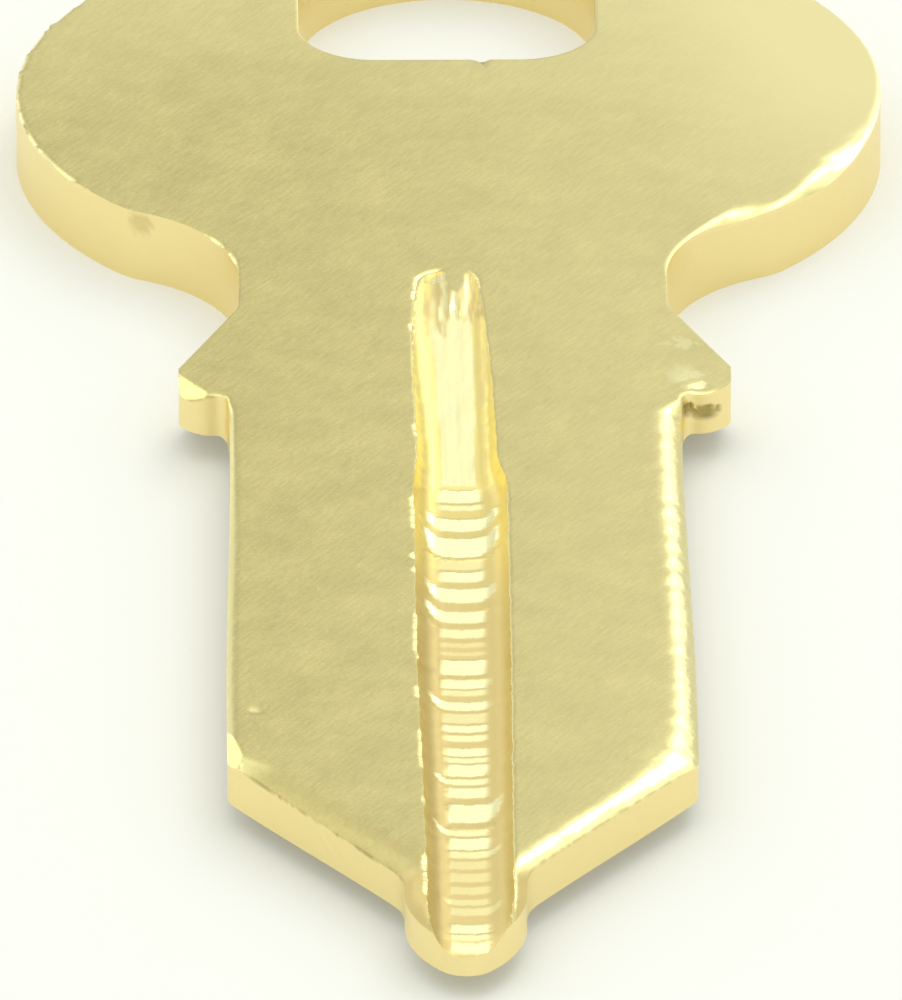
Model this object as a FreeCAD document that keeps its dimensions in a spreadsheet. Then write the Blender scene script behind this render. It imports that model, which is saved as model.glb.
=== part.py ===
import FreeCAD, Part
import math
import os

import Sketcher

# Key blank, one piece of brass: bow with a hole for a ring, neck, shoulder stops
# and a pointed blade with one milled groove down its middle.
# Units are millimetres. The key lies flat with its underside on z = 0.
# The origin is on the centreline, in the plane of the shoulder stops.
# The bow is towards +Y and the tip towards -Y.

SIZES = [
    ("sheet_thickness", 1.9, "thickness of bow, neck and flare"),
    ("bow_width", 22.0, "widest part of the bow"),
    ("bow_length", 30.0, "from the stop plane to the far end of the bow"),
    ("lobe_offset", 1.18, "centre of a side lobe's round edge, from the centreline"),
    ("bow_start", 5.2, "the bow's widest row is midway between here and its far end"),
    ("lobe_corner_radius", 2.0, "corner where a lobe turns towards the neck"),
    ("lobe_corner_angle", 42.1, "degrees round a lobe, from its widest row, to that corner"),
    ("neck_fillet_radius", 4.1, "hollow curve from lobe to neck"),
    ("neck_length", 1.8, "straight neck, from that curve to where the flare starts"),
    ("neck_inset", 0.3, "the neck is this much narrower than the blade at each side"),
    ("hole_width", 7.55, "bow hole, side to side"),
    ("hole_length", 7.555, "bow hole, from its flat near edge to its round far end"),
    ("hole_corner_radius", 1.95, "near corners of the hole"),
    ("far_rim", 2.925, "metal between the hole and the far end of the bow"),
    ("flare_corner_radius", 1.2, "hollow corner between neck and flare"),
    ("stop_reach", 1.23, "each stop stands out from the blade this much"),
    ("stop_side", 1.45, "length of a stop's outer side, corner included"),
    ("stop_corner_radius", 0.75, "rounded outer corner of a stop"),
    ("stop_root_radius", 0.3, "hollow corner between stop and blade"),
    ("blade_width", 11.4, "blade side to side"),
    ("blade_length", 30.0, "from the stop plane to the end of the tip"),
    ("shoulder_radius", 0.9, "rounded corners of the shoulders"),
    ("tip_half_angle", 34.2, "degrees between the centreline and the slope of the tip"),
    ("nose_width", 3.0, "nose at the end of the tip"),
    ("nose_length", 3.42, "from the foot of the slope to the end of the nose"),
    ("nose_fillet_radius", 1.5, "hollow corner between slope and nose"),
    ("nose_side", 0.8, "side of the nose, half of it taken by that corner"),
    ("nose_end_radius", 0.8, "round end of the nose"),
    ("relief_depth", 0.6, "blade and stops are milled this much thinner from below"),
    ("relief_y", 1.6, "where that begins, behind the stops"),
    ("relief_root_radius", 0.3, "corner left by the cutter there"),
    ("bow_roll", 0.2, "rounded top edge of bow and neck"),
    ("blade_roll", 0.48, "rolled top edge of stops, blade and tip"),
    ("groove_floor_width", 1.24, "flat of the cutter that made the groove"),
    ("groove_corner_radius", 0.62, "corner of that cutter"),
    ("groove_depth", 0.54, "depth along the blade"),
    ("groove_shift", 0.08, "the groove lies this much off the centreline"),
    ("runout_top_y", 6.45, "shallow end of the groove, on the neck"),
    ("runout_end_y", -4.8, "where the run-out meets the level floor"),
    ("runout_depth", 0.04, "depth at the shallow end"),
    ("chatter_depth", 0.06, "height of the tool marks across the floor"),
    ("chatter_radius", 0.74, "reach of the tool that left them"),
    ("chatter_tilt", 4.0, "degrees that the tool leant into its feed"),
    ("chatter_pitch", 0.97, "mean distance between marks"),
    ("nick_angle", 45.3, "degrees round the left lobe, from its widest row, to a dent in its top edge"),
    ("nick_width", 0.95, "that dent, along the edge"),
    ("nick_reach", 0.24, "how far that dent goes into the bow"),
    ("nick_depth", 0.62, "how far that dent goes down the side"),
    ("pit_from_side", 0.7, "centre of a dent in the right stop's front face, from the stop's side"),
    ("pit_height", 0.58, "centre of that dent, above the stop's underside"),
    ("pit_width", 0.72, "that dent, across the face"),
    ("pit_rise", 0.5, "that dent, up the face"),
    ("pit_depth", 0.15, "that dent, into the face"),
    ("cut_margin", 1.0, "how far the cutting shapes reach past the metal"),
]

TOUCH = 0.01  # edges this close count as lying on each other

doc = FreeCAD.newDocument("key_blank")
sheet = doc.addObject("Spreadsheet::Sheet", "sizes")
for row, (name, value, note) in enumerate(SIZES, start=1):
    sheet.set("A%d" % row, name)
    sheet.set("B%d" % row, str(value))
    sheet.set("C%d" % row, note)
    sheet.setAlias("B%d" % row, name)
doc.recompute()


def size(name):
    return float(sheet.get(name))


def point(x, y):
    return FreeCAD.Vector(x, y, 0)


class Profile:
    """A closed chain of lines and arcs in a sketch, each joined to the one before it."""

    def __init__(self, sketch, start):
        self.sketch = sketch
        self.at = point(*start)
        self.first = None
        self.leave = None

    def _add(self, shape, enter, leave, tangent):
        index = self.sketch.addGeometry(shape, False)
        if self.leave is not None:
            kind = "Tangent" if tangent else "Coincident"
            self.sketch.addConstraint(Sketcher.Constraint(kind, *self.leave, index, enter))
        else:
            self.first = (index, enter)
        self.leave = (index, leave)
        return index

    def line(self, x, y, tangent=False):
        end = point(x, y)
        index = self._add(Part.LineSegment(self.at, end), 1, 2, tangent)
        self.at = end
        return index

    def arc(self, cx, cy, x, y, left=True, tangent=True):
        """Arc about (cx, cy) to (x, y), turning left (anticlockwise) or right."""
        centre = point(cx, cy)
        end = point(x, y)
        radius = (self.at - centre).Length
        a_from = math.atan2(self.at.y - cy, self.at.x - cx)
        a_to = math.atan2(end.y - cy, end.x - cx)
        if not left:
            a_from, a_to = a_to, a_from
        circle = Part.Circle(centre, FreeCAD.Vector(0, 0, 1), radius)
        shape = Part.ArcOfCircle(circle, a_from, a_to)
        enter, leave = (1, 2) if left else (2, 1)
        index = self._add(shape, enter, leave, tangent)
        self.at = end
        return index

    def close(self, tangent=False):
        kind = "Tangent" if tangent else "Coincident"
        self.sketch.addConstraint(Sketcher.Constraint(kind, *self.leave, *self.first))


def origin_plane(body, role):
    return next(f for f in body.Origin.OriginFeatures if f.Role == role)


def new_sketch(body, name, role, offset=None):
    sketch = body.newObject("Sketcher::SketchObject", name)
    sketch.AttachmentSupport = (origin_plane(body, role), [""])
    sketch.MapMode = "FlatFace"
    if offset:
        sketch.setExpression("AttachmentOffset.Base.z", offset)
    return sketch


def bind(sketch, constraint, name, expression):
    """Add a dimension to a sketch and tie it to the sheet."""
    index = sketch.addConstraint(constraint)
    sketch.renameConstraint(index, name)
    sketch.setExpression("Constraints." + name, expression)


def bind_radius(sketch, index, cell):
    radius = sketch.Geometry[index].Radius
    bind(sketch, Sketcher.Constraint("Radius", index, radius), cell, "sizes." + cell)


def toward(a, b, length):
    gap = math.hypot(b[0] - a[0], b[1] - a[1])
    return (a[0] + (b[0] - a[0]) * length / gap, a[1] + (b[1] - a[1]) * length / gap)


def corner(before, at, after, radius):
    """Where a rounded corner starts and ends between two straight sides, and its centre."""
    ax, ay = before[0] - at[0], before[1] - at[1]
    bx, by = after[0] - at[0], after[1] - at[1]
    la, lb = math.hypot(ax, ay), math.hypot(bx, by)
    half = math.acos((ax * bx + ay * by) / (la * lb)) / 2
    setback = radius / math.tan(half)
    start = toward(at, before, setback)
    end = toward(at, after, setback)
    mx, my = ax / la + bx / lb, ay / la + by / lb
    centre = toward(at, (at[0] + mx, at[1] + my), radius / math.sin(half))
    return start, end, centre


# Outline of the right half, from the end of the nose round to the far end of the bow

body = doc.addObject("PartDesign::Body", "key_blank")
body.Label = "key_blank"

outline = new_sketch(body, "outline", "XY_Plane")

half_bow = size("bow_width") / 2
half_blade = size("blade_width") / 2
half_neck = half_blade - size("neck_inset")
half_stop = half_blade + size("stop_reach")
half_nose = size("nose_width") / 2
tip = math.radians(size("tip_half_angle"))

nose_corner = (half_nose, size("nose_length") - size("blade_length"))
shoulder = (half_blade, nose_corner[1] + (half_blade - half_nose) / math.tan(tip))
flank_start = (half_nose, nose_corner[1] - size("nose_side"))
end_centre = (0.0, -size("blade_length") + size("nose_end_radius"))
reach = flank_start[1] - end_centre[1]
flank_radius = ((half_nose ** 2 + reach ** 2 - size("nose_end_radius") ** 2)
                / (2 * (half_nose - size("nose_end_radius"))))
flank_centre = (half_nose - flank_radius, flank_start[1])
nose_touch = toward(flank_centre, end_centre, flank_radius)

lobe_centre = (size("lobe_offset"), (size("bow_length") + size("bow_start")) / 2)
lobe_radius = half_bow - size("lobe_offset")
turn_angle = -math.radians(size("lobe_corner_angle"))
turn_end = (lobe_centre[0] + lobe_radius * math.cos(turn_angle),
            lobe_centre[1] + lobe_radius * math.sin(turn_angle))
turn_centre = toward(turn_end, lobe_centre, size("lobe_corner_radius"))
between = size("neck_fillet_radius") + size("lobe_corner_radius")
hollow_x = half_neck + size("neck_fillet_radius")
hollow_centre = (hollow_x, turn_centre[1] - math.sqrt(between ** 2 - (hollow_x - turn_centre[0]) ** 2))
turn_start = toward(turn_centre, hollow_centre, size("lobe_corner_radius"))

# Far end of the bow: a dome about the round end of the hole, and a straight tangent to the lobe
half_hole = size("hole_width") / 2
dome_radius = size("far_rim") + half_hole
dome_centre = (0.0, size("bow_length") - dome_radius)
span = math.hypot(lobe_centre[0], dome_centre[1] - lobe_centre[1])
lean = math.atan2(dome_centre[1] - lobe_centre[1], dome_centre[0] - lobe_centre[0])
normal = lean - math.acos((lobe_radius - dome_radius) / span)
lobe_touch = (lobe_centre[0] + lobe_radius * math.cos(normal),
              lobe_centre[1] + lobe_radius * math.sin(normal))
dome_touch = (dome_centre[0] + dome_radius * math.cos(normal),
              dome_centre[1] + dome_radius * math.sin(normal))

stop_out = (half_stop, 0.0)
stop_in = (half_blade, 0.0)
flare_out = (half_stop, size("stop_side"))
flare_in = (half_neck, hollow_centre[1] - size("neck_length"))

side = Profile(outline, (0.0, -size("blade_length")))
nose_end = side.arc(*end_centre, *nose_touch)
flank = side.arc(*flank_centre, *flank_start)
start, end, centre = corner(flank_start, nose_corner, shoulder, size("nose_fillet_radius"))
nose_side = side.line(*start, tangent=True)
nose_fillet = side.arc(*centre, *end, left=False)
start, end, centre = corner(nose_corner, shoulder, stop_in, size("shoulder_radius"))
slope = side.line(*start, tangent=True)
shoulder_arc = side.arc(*centre, *end)
start, end, centre = corner(shoulder, stop_in, stop_out, size("stop_root_radius"))
blade_side = side.line(*start, tangent=True)
root_arc = side.arc(*centre, *end, left=False)
start, end, centre = corner(stop_in, stop_out, flare_out, size("stop_corner_radius"))
stop_front = side.line(*start, tangent=True)
stop_arc = side.arc(*centre, *end)
stop_side = side.line(*flare_out, tangent=True)
neck_end = (half_neck, hollow_centre[1])
start, end, centre = corner(flare_out, flare_in, neck_end, size("flare_corner_radius"))
flare = side.line(*start)
flare_arc = side.arc(*centre, *end, left=False)
neck = side.line(*neck_end, tangent=True)
hollow = side.arc(*hollow_centre, *turn_start, left=False)
turn = side.arc(*turn_centre, *turn_end)
lobe = side.arc(*lobe_centre, *lobe_touch)
bow_slope = side.line(*dome_touch, tangent=True)
dome = side.arc(*dome_centre, 0.0, size("bow_length"))
middle = side.line(0.0, -size("blade_length"))
side.close()

for line in (nose_side, blade_side, stop_side, neck, middle):
    outline.addConstraint(Sketcher.Constraint("Vertical", line))
outline.addConstraint(Sketcher.Constraint("Horizontal", stop_front))
outline.addConstraint(Sketcher.Constraint("PointOnObject", middle, 1, -2))
outline.addConstraint(Sketcher.Constraint("PointOnObject", nose_end, 3, -2))
outline.addConstraint(Sketcher.Constraint("PointOnObject", dome, 3, -2))
outline.addConstraint(Sketcher.Constraint("PointOnObject", stop_front, 1, -1))
for index, cell in ((nose_end, "nose_end_radius"), (nose_fillet, "nose_fillet_radius"),
                    (shoulder_arc, "shoulder_radius"), (root_arc, "stop_root_radius"),
                    (stop_arc, "stop_corner_radius"), (flare_arc, "flare_corner_radius"),
                    (hollow, "neck_fillet_radius"), (turn, "lobe_corner_radius")):
    bind_radius(outline, index, cell)
bind(outline, Sketcher.Constraint("Radius", lobe, lobe_radius), "lobe_radius",
     "sizes.bow_width / 2 - sizes.lobe_offset")


def bind_x(sketch, index, vertex, name, value, expression):
    if value < 0:
        bind(sketch, Sketcher.Constraint("DistanceX", index, vertex, -1, 1, -value), name, expression)
    else:
        bind(sketch, Sketcher.Constraint("DistanceX", -1, 1, index, vertex, value), name, expression)


def bind_y(sketch, index, vertex, name, value, expression):
    if value < 0:
        bind(sketch, Sketcher.Constraint("DistanceY", index, vertex, -1, 1, -value), name, expression)
    else:
        bind(sketch, Sketcher.Constraint("DistanceY", -1, 1, index, vertex, value), name, expression)


bind_x(outline, nose_side, 1, "half_nose", half_nose, "sizes.nose_width / 2")
bind_x(outline, blade_side, 1, "half_blade", half_blade, "sizes.blade_width / 2")
bind_x(outline, stop_side, 2, "half_stop", half_stop, "sizes.blade_width / 2 + sizes.stop_reach")
bind_x(outline, neck, 2, "half_neck", half_neck, "sizes.blade_width / 2 - sizes.neck_inset")
bind_x(outline, lobe, 3, "lobe_x", lobe_centre[0], "sizes.lobe_offset")
bind_y(outline, lobe, 3, "lobe_y", lobe_centre[1], "(sizes.bow_length + sizes.bow_start) / 2")
bind_x(outline, turn, 3, "turn_x", turn_centre[0],
       "sizes.lobe_offset + (sizes.bow_width / 2 - sizes.lobe_offset - sizes.lobe_corner_radius)"
       " * cos(sizes.lobe_corner_angle * 1 deg)")
bind_y(outline, dome, 3, "dome_y", dome_centre[1],
       "sizes.bow_length - sizes.far_rim - sizes.hole_width / 2")
bind_y(outline, middle, 1, "bow_length", size("bow_length"), "sizes.bow_length")
bind_y(outline, middle, 2, "blade_length", -size("blade_length"), "sizes.blade_length")
bind_y(outline, stop_side, 2, "stop_side", size("stop_side"), "sizes.stop_side")
bind(outline, Sketcher.Constraint("Angle", slope, math.pi / 2 - tip), "slope",
     "(90 - sizes.tip_half_angle) * 1 deg")
bind_y(outline, nose_fillet, 3, "nose_fillet_y", outline.Geometry[nose_fillet].Center.y,
       "sizes.blade_length - sizes.nose_length"
       " + sizes.nose_fillet_radius * tan(sizes.tip_half_angle * 0.5 deg)")
bind_y(outline, flank, 3, "flank_y", flank_start[1],
       "sizes.blade_length - sizes.nose_length + sizes.nose_side")

# The point where the lines of neck and flare would cross without their rounded corner
crossing = outline.addGeometry(Part.Point(point(*flare_in)), True)
outline.addConstraint(Sketcher.Constraint("PointOnObject", crossing, 1, neck))
outline.addConstraint(Sketcher.Constraint("PointOnObject", crossing, 1, flare))
bind(outline, Sketcher.Constraint("DistanceY", crossing, 1, hollow, 3, size("neck_length")),
     "neck_length", "sizes.neck_length")

blank = body.newObject("PartDesign::Pad", "blank")
blank.Profile = outline
blank.setExpression("Length", "sizes.sheet_thickness")

whole = body.newObject("PartDesign::Mirrored", "whole_blank")
whole.Originals = [blank]
whole.MirrorPlane = (origin_plane(body, "YZ_Plane"), [""])
body.Tip = whole
doc.recompute()

# Hole for the ring: flat towards the blade, round towards the far end

hole = new_sketch(body, "hole", "XY_Plane")
hole_corner = size("hole_corner_radius")
near = size("bow_length") - size("far_rim") - size("hole_length")
arc_y = dome_centre[1]
rim = Profile(hole, (-half_hole + hole_corner, near))
near_edge = rim.line(half_hole - hole_corner, near)
near_right = rim.arc(half_hole - hole_corner, near + hole_corner, half_hole, near + hole_corner)
right_edge = rim.line(half_hole, arc_y, tangent=True)
far_arc = rim.arc(0.0, arc_y, -half_hole, arc_y)
left_edge = rim.line(-half_hole, near + hole_corner, tangent=True)
near_left = rim.arc(-half_hole + hole_corner, near + hole_corner, -half_hole + hole_corner, near)
rim.close(tangent=True)
hole.addConstraint(Sketcher.Constraint("Horizontal", near_edge))
hole.addConstraint(Sketcher.Constraint("Vertical", right_edge))
hole.addConstraint(Sketcher.Constraint("Vertical", left_edge))
hole.addConstraint(Sketcher.Constraint("PointOnObject", far_arc, 3, -2))
hole.addConstraint(Sketcher.Constraint("Equal", near_left, near_right))
bind_radius(hole, near_right, "hole_corner_radius")
bind(hole, Sketcher.Constraint("Radius", far_arc, half_hole), "far_radius", "sizes.hole_width / 2")
bind_y(hole, far_arc, 3, "far_arc_y", arc_y, "sizes.bow_length - sizes.far_rim - sizes.hole_width / 2")
bind_y(hole, near_edge, 1, "near_y", near, "sizes.bow_length - sizes.far_rim - sizes.hole_length")

bow_hole = body.newObject("PartDesign::Pocket", "bow_hole")
bow_hole.Profile = hole
bow_hole.Type = "ThroughAll"
bow_hole.Midplane = True
doc.recompute()

# Underside of stops, blade and tip, milled away so that they are thinner than the bow

relief = new_sketch(body, "relief", "YZ_Plane")
relief_y = size("relief_y")
raised = size("relief_depth")
root = size("relief_root_radius")
past_tip = -size("blade_length") - size("cut_margin")
step = Profile(relief, (past_tip, -size("cut_margin")))
step_below = step.line(relief_y, -size("cut_margin"))
step_wall = step.line(relief_y, raised - root)
step_root = step.arc(relief_y - root, raised - root, relief_y - root, raised)
step_top = step.line(past_tip, raised, tangent=True)
step_end = step.line(past_tip, -size("cut_margin"))
step.close()
for line in (step_below, step_top):
    relief.addConstraint(Sketcher.Constraint("Horizontal", line))
for line in (step_wall, step_end):
    relief.addConstraint(Sketcher.Constraint("Vertical", line))
bind_radius(relief, step_root, "relief_root_radius")
bind_x(relief, step_wall, 1, "relief_y", relief_y, "sizes.relief_y")
bind_y(relief, step_top, 1, "raised", raised, "sizes.relief_depth")
bind_x(relief, step_end, 1, "past_tip", past_tip, "sizes.blade_length + sizes.cut_margin")
bind_y(relief, step_below, 1, "below", -size("cut_margin"), "sizes.cut_margin")

under = body.newObject("PartDesign::Pocket", "underside_relief")
under.Profile = relief
under.Type = "ThroughAll"
under.Midplane = True
doc.recompute()

# Rolled top edges: generous round the stops, blade and tip, small on bow and neck


def top_edges(shape, wanted):
    """Names of the edges round the outside of the top face whose middle the test accepts."""
    top = size("sheet_thickness")
    far_rim = arc_y + half_hole
    names = []
    for number, edge in enumerate(shape.Edges, start=1):
        box = edge.BoundBox
        middle = edge.CenterOfMass
        level = abs(box.ZMin - top) < TOUCH and abs(box.ZMax - top) < TOUCH
        of_hole = abs(middle.x) < half_hole + TOUCH and near - TOUCH < middle.y < far_rim
        if level and not of_hole and wanted(middle):
            names.append("Edge%d" % number)
    return names


def roll(base, name, wanted):
    fillet = body.newObject("PartDesign::Fillet", name)
    fillet.Base = (base, top_edges(base.Shape, wanted))
    fillet.setExpression("Radius", "sizes." + name)
    doc.recompute()
    return fillet


blade_roll = roll(under, "blade_roll", lambda middle: middle.y < size("stop_side"))
bow_roll = roll(blade_roll, "bow_roll", lambda middle: middle.y > size("stop_side"))

# Milled groove: a flat-ended cutter with rounded corners comes down a long run-out on the
# neck, then runs level to the nose


def cutter_section(name, y_cell, depth_cell):
    """Outline of the cutter, standing across the groove at one place along it."""
    sketch = new_sketch(body, name, "XZ_Plane", "-sizes." + y_cell)
    sketch.setExpression("AttachmentOffset.Base.x", "sizes.groove_shift")
    flat = size("groove_floor_width") / 2
    radius = size("groove_corner_radius")
    floor = size("sheet_thickness") - size(depth_cell)
    above = floor + radius + size("cut_margin")
    cutter = Profile(sketch, (-flat, floor))
    bottom = cutter.line(flat, floor)
    right = cutter.arc(flat, floor + radius, flat + radius, floor + radius)
    right_side = cutter.line(flat + radius, above, tangent=True)
    top = cutter.line(-flat - radius, above)
    left_side = cutter.line(-flat - radius, floor + radius)
    left = cutter.arc(-flat, floor + radius, -flat, floor)
    cutter.close(tangent=True)
    sketch.addConstraint(Sketcher.Constraint("Horizontal", top))
    for line in (right_side, left_side):
        sketch.addConstraint(Sketcher.Constraint("Vertical", line))
    sketch.addConstraint(Sketcher.Constraint("Equal", right, left))
    sketch.addConstraint(Sketcher.Constraint("Symmetric", bottom, 1, bottom, 2, -2))
    bind_radius(sketch, right, "groove_corner_radius")
    bind(sketch, Sketcher.Constraint("DistanceX", bottom, 1, bottom, 2, 2 * flat),
         "groove_floor_width", "sizes.groove_floor_width")
    bind_y(sketch, bottom, 1, "floor", floor, "sizes.sheet_thickness - sizes." + depth_cell)
    bind(sketch, Sketcher.Constraint("DistanceY", right_side, 1, right_side, 2, size("cut_margin")),
         "above", "sizes.cut_margin")
    return sketch


level_section = cutter_section("level_section", "runout_end_y", "groove_depth")
shallow_section = cutter_section("shallow_section", "runout_top_y", "runout_depth")

level_groove = body.newObject("PartDesign::Pocket", "level_groove")
level_groove.Profile = level_section
level_groove.Reversed = True
level_groove.setExpression("Length", "sizes.blade_length + sizes.runout_end_y + sizes.cut_margin")

runout = body.newObject("PartDesign::SubtractiveLoft", "groove_runout")
runout.Profile = level_section
runout.Sections = [shallow_section]
runout.Ruled = True

# Round end of the run-out: half of the cutter's outline turned about its own axis

entry_section = new_sketch(body, "entry_section", "XZ_Plane", "-sizes.runout_top_y")
entry_section.setExpression("AttachmentOffset.Base.x", "sizes.groove_shift")
flat = size("groove_floor_width") / 2
radius = size("groove_corner_radius")
floor = size("sheet_thickness") - size("runout_depth")
above = floor + radius + size("cut_margin")
cutter = Profile(entry_section, (0.0, floor))
entry_floor = cutter.line(flat, floor)
entry_corner = cutter.arc(flat, floor + radius, flat + radius, floor + radius)
entry_side = cutter.line(flat + radius, above, tangent=True)
entry_top = cutter.line(0.0, above)
entry_axis = cutter.line(0.0, floor)
cutter.close()
for line in (entry_floor, entry_top):
    entry_section.addConstraint(Sketcher.Constraint("Horizontal", line))
for line in (entry_side, entry_axis):
    entry_section.addConstraint(Sketcher.Constraint("Vertical", line))
entry_section.addConstraint(Sketcher.Constraint("PointOnObject", entry_floor, 1, -2))
bind_radius(entry_section, entry_corner, "groove_corner_radius")
bind_x(entry_section, entry_floor, 2, "flat", flat, "sizes.groove_floor_width / 2")
bind_y(entry_section, entry_floor, 1, "floor", floor, "sizes.sheet_thickness - sizes.runout_depth")
bind(entry_section, Sketcher.Constraint("DistanceY", entry_side, 1, entry_side, 2, size("cut_margin")),
     "above", "sizes.cut_margin")

entry = body.newObject("PartDesign::Groove", "groove_entry")
entry.Profile = entry_section
entry.ReferenceAxis = (entry_section, ["V_Axis"])
entry.Angle = 360.0
doc.recompute()

# Chatter: the cutter leant into its feed and left uneven arcs across the level floor

mark = body.newObject("PartDesign::SubtractiveCylinder", "chatter_mark")
mark.AttachmentSupport = (origin_plane(body, "XY_Plane"), [""])
mark.MapMode = "FlatFace"
mark.setExpression("Radius", "sizes.chatter_radius")
mark.setExpression("Height", "sizes.cut_margin + sizes.groove_depth")
mark.AttachmentOffset = FreeCAD.Placement(
    FreeCAD.Vector(0, 0, 0), FreeCAD.Rotation(FreeCAD.Vector(1, 0, 0), size("chatter_tilt")))
mark.setExpression("AttachmentOffset.Base.x", "sizes.groove_shift")
mark.setExpression("AttachmentOffset.Base.y", "sizes.runout_end_y")
mark.setExpression("AttachmentOffset.Base.z",
                   "sizes.sheet_thickness - sizes.groove_depth - sizes.chatter_depth"
                   " + sizes.chatter_radius * sin(sizes.chatter_tilt * 1 deg)")
mark.setExpression("AttachmentOffset.Rotation.Angle", "sizes.chatter_tilt * 1 deg")
doc.recompute()

chatter = body.newObject("PartDesign::LinearPattern", "chatter")
chatter.Originals = [mark]
chatter.Direction = (origin_plane(body, "Y_Axis"), [""])
chatter.Reversed = True
chatter.Mode = "Spacing"
UNEVEN = (1.0, 0.72, 1.3, 0.85, 1.12, 0.68, 1.05, 1.28)
pitch = size("chatter_pitch")
marked_length = size("blade_length") + size("runout_end_y") - size("nose_end_radius")
chatter.Occurrences = int(marked_length / pitch)
chatter.Offset = pitch
chatter.SpacingPattern = [pitch * share for share in UNEVEN]
body.Tip = chatter
doc.recompute()

# Two dents: one in the top edge of the left lobe, one in the right stop's front face


def dent(name, radii, base):
    """Scoop whose half sizes and centre, each along x, y and z, are expressions."""
    scoop = body.newObject("PartDesign::SubtractiveEllipsoid", name)
    scoop.AttachmentSupport = (origin_plane(body, "XY_Plane"), [""])
    scoop.MapMode = "FlatFace"
    for side, expression in zip(("Radius2", "Radius3", "Radius1"), radii):
        scoop.setExpression(side, expression)
    for axis, expression in zip("xyz", base):
        scoop.setExpression("AttachmentOffset.Base." + axis, expression)
    return scoop


nick = dent("bow_nick", ("sizes.nick_reach", "sizes.nick_width / 2", "sizes.nick_depth"),
            ("(sizes.lobe_offset - sizes.bow_width / 2) * cos(sizes.nick_angle * 1 deg)"
             " - sizes.lobe_offset",
             "(sizes.bow_length + sizes.bow_start) / 2"
             " - (sizes.bow_width / 2 - sizes.lobe_offset) * sin(sizes.nick_angle * 1 deg)",
             "sizes.sheet_thickness"))
nick.setExpression("AttachmentOffset.Rotation.Angle", "sizes.nick_angle * 1 deg")
dent("stop_pit", ("sizes.pit_width / 2", "sizes.pit_depth", "sizes.pit_rise / 2"),
     ("sizes.blade_width / 2 + sizes.stop_reach - sizes.pit_from_side", "0",
      "sizes.relief_depth + sizes.pit_height"))
doc.recompute()

for item in doc.Objects:
    if "Invalid" in item.State or "Error" in item.State:
        raise RuntimeError("%s failed: %s" % (item.Label, item.State))
    if item.TypeId == "Sketcher::SketchObject" and not item.FullyConstrained:
        raise RuntimeError("%s is not fully constrained" % item.Label)
if body.Shape.isNull() or not body.Shape.isValid() or len(body.Shape.Solids) != 1:
    raise RuntimeError("key_blank is not one valid solid")

os.makedirs("parts", exist_ok=True)
body.Shape.exportStep("parts/key_blank.step")
print("key_blank: %.1f mm3, %d faces" % (body.Shape.Volume, len(body.Shape.Faces)))
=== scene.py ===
"""Looks of the brass key blank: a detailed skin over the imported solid, its metal, and the studio."""

import math

import bpy
import numpy as np
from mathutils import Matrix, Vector, geometry, kdtree


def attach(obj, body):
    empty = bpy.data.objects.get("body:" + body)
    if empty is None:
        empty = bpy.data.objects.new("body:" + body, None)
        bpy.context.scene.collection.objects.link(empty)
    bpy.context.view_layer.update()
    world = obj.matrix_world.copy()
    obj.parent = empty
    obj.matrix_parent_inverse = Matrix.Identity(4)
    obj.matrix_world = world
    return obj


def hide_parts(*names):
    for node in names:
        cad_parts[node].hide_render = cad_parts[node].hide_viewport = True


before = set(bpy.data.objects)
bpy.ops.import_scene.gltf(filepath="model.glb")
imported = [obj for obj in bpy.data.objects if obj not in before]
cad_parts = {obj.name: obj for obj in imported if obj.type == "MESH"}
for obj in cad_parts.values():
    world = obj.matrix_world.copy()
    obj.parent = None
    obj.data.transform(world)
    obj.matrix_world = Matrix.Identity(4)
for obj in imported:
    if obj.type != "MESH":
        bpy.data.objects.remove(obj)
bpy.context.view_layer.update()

MM = 0.001

# Driving sizes in millimetres, the same as the solid's
THICK = 1.9
BOW_WIDTH = 22.0
BOW_LENGTH = 30.0
LOBE_OFFSET = 1.18
BOW_START = 5.2
LOBE_CORNER_RADIUS = 2.0
LOBE_CORNER_ANGLE = math.radians(42.1)
NECK_FILLET_RADIUS = 4.1
NECK_LENGTH = 1.8
NECK_INSET = 0.3
HOLE_WIDTH = 7.55
HOLE_LENGTH = 7.555
HOLE_CORNER_RADIUS = 1.95
FAR_RIM = 2.925
FLARE_CORNER_RADIUS = 1.2
STOP_REACH = 1.23
STOP_SIDE = 1.45
STOP_CORNER_RADIUS = 0.75
STOP_ROOT_RADIUS = 0.3
BLADE_WIDTH = 11.4
BLADE_LENGTH = 30.0
SHOULDER_RADIUS = 0.9
TIP_HALF_ANGLE = math.radians(34.2)
NOSE_WIDTH = 3.0
NOSE_LENGTH = 3.42
NOSE_FILLET_RADIUS = 1.5
NOSE_SIDE = 0.8
NOSE_END_RADIUS = 0.8
RELIEF_DEPTH = 0.6
RELIEF_Y = 1.6
RELIEF_ROOT_RADIUS = 0.3
GROOVE_FLAT = 0.96
GROOVE_CORNER = 0.70
GROOVE_DEPTH = 0.54
GROOVE_SHIFT = 0.08
RUNOUT_TOP = 6.45
RUNOUT_END = -4.8
RUNOUT_DEPTH = 0.06
RUNOUT_END_REACH = 0.75

# Fineness of the skin in millimetres: along the outline, down the groove, on the open face and on
# the underside, then the rows that run along the outline, along the hole (whose ring has the metal
# on its right, so they are negative) and beside the groove
STEP = 0.13
ROW_STEP = 0.055
FACE_STEP = 0.6
UNDERSIDE_STEP = 1.2
INSETS = (0.012, 0.03, 0.055, 0.085, 0.12, 0.16, 0.205, 0.26, 0.32, 0.385, 0.45, 0.53, 0.62, 0.72, 0.85)
HOLE_INSETS = (-0.015, -0.05, -0.12)
RIM_ROWS = (0.012, 0.05, 0.09, 0.13, 0.2)
UNDERSIDE_INSET = 0.05


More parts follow.
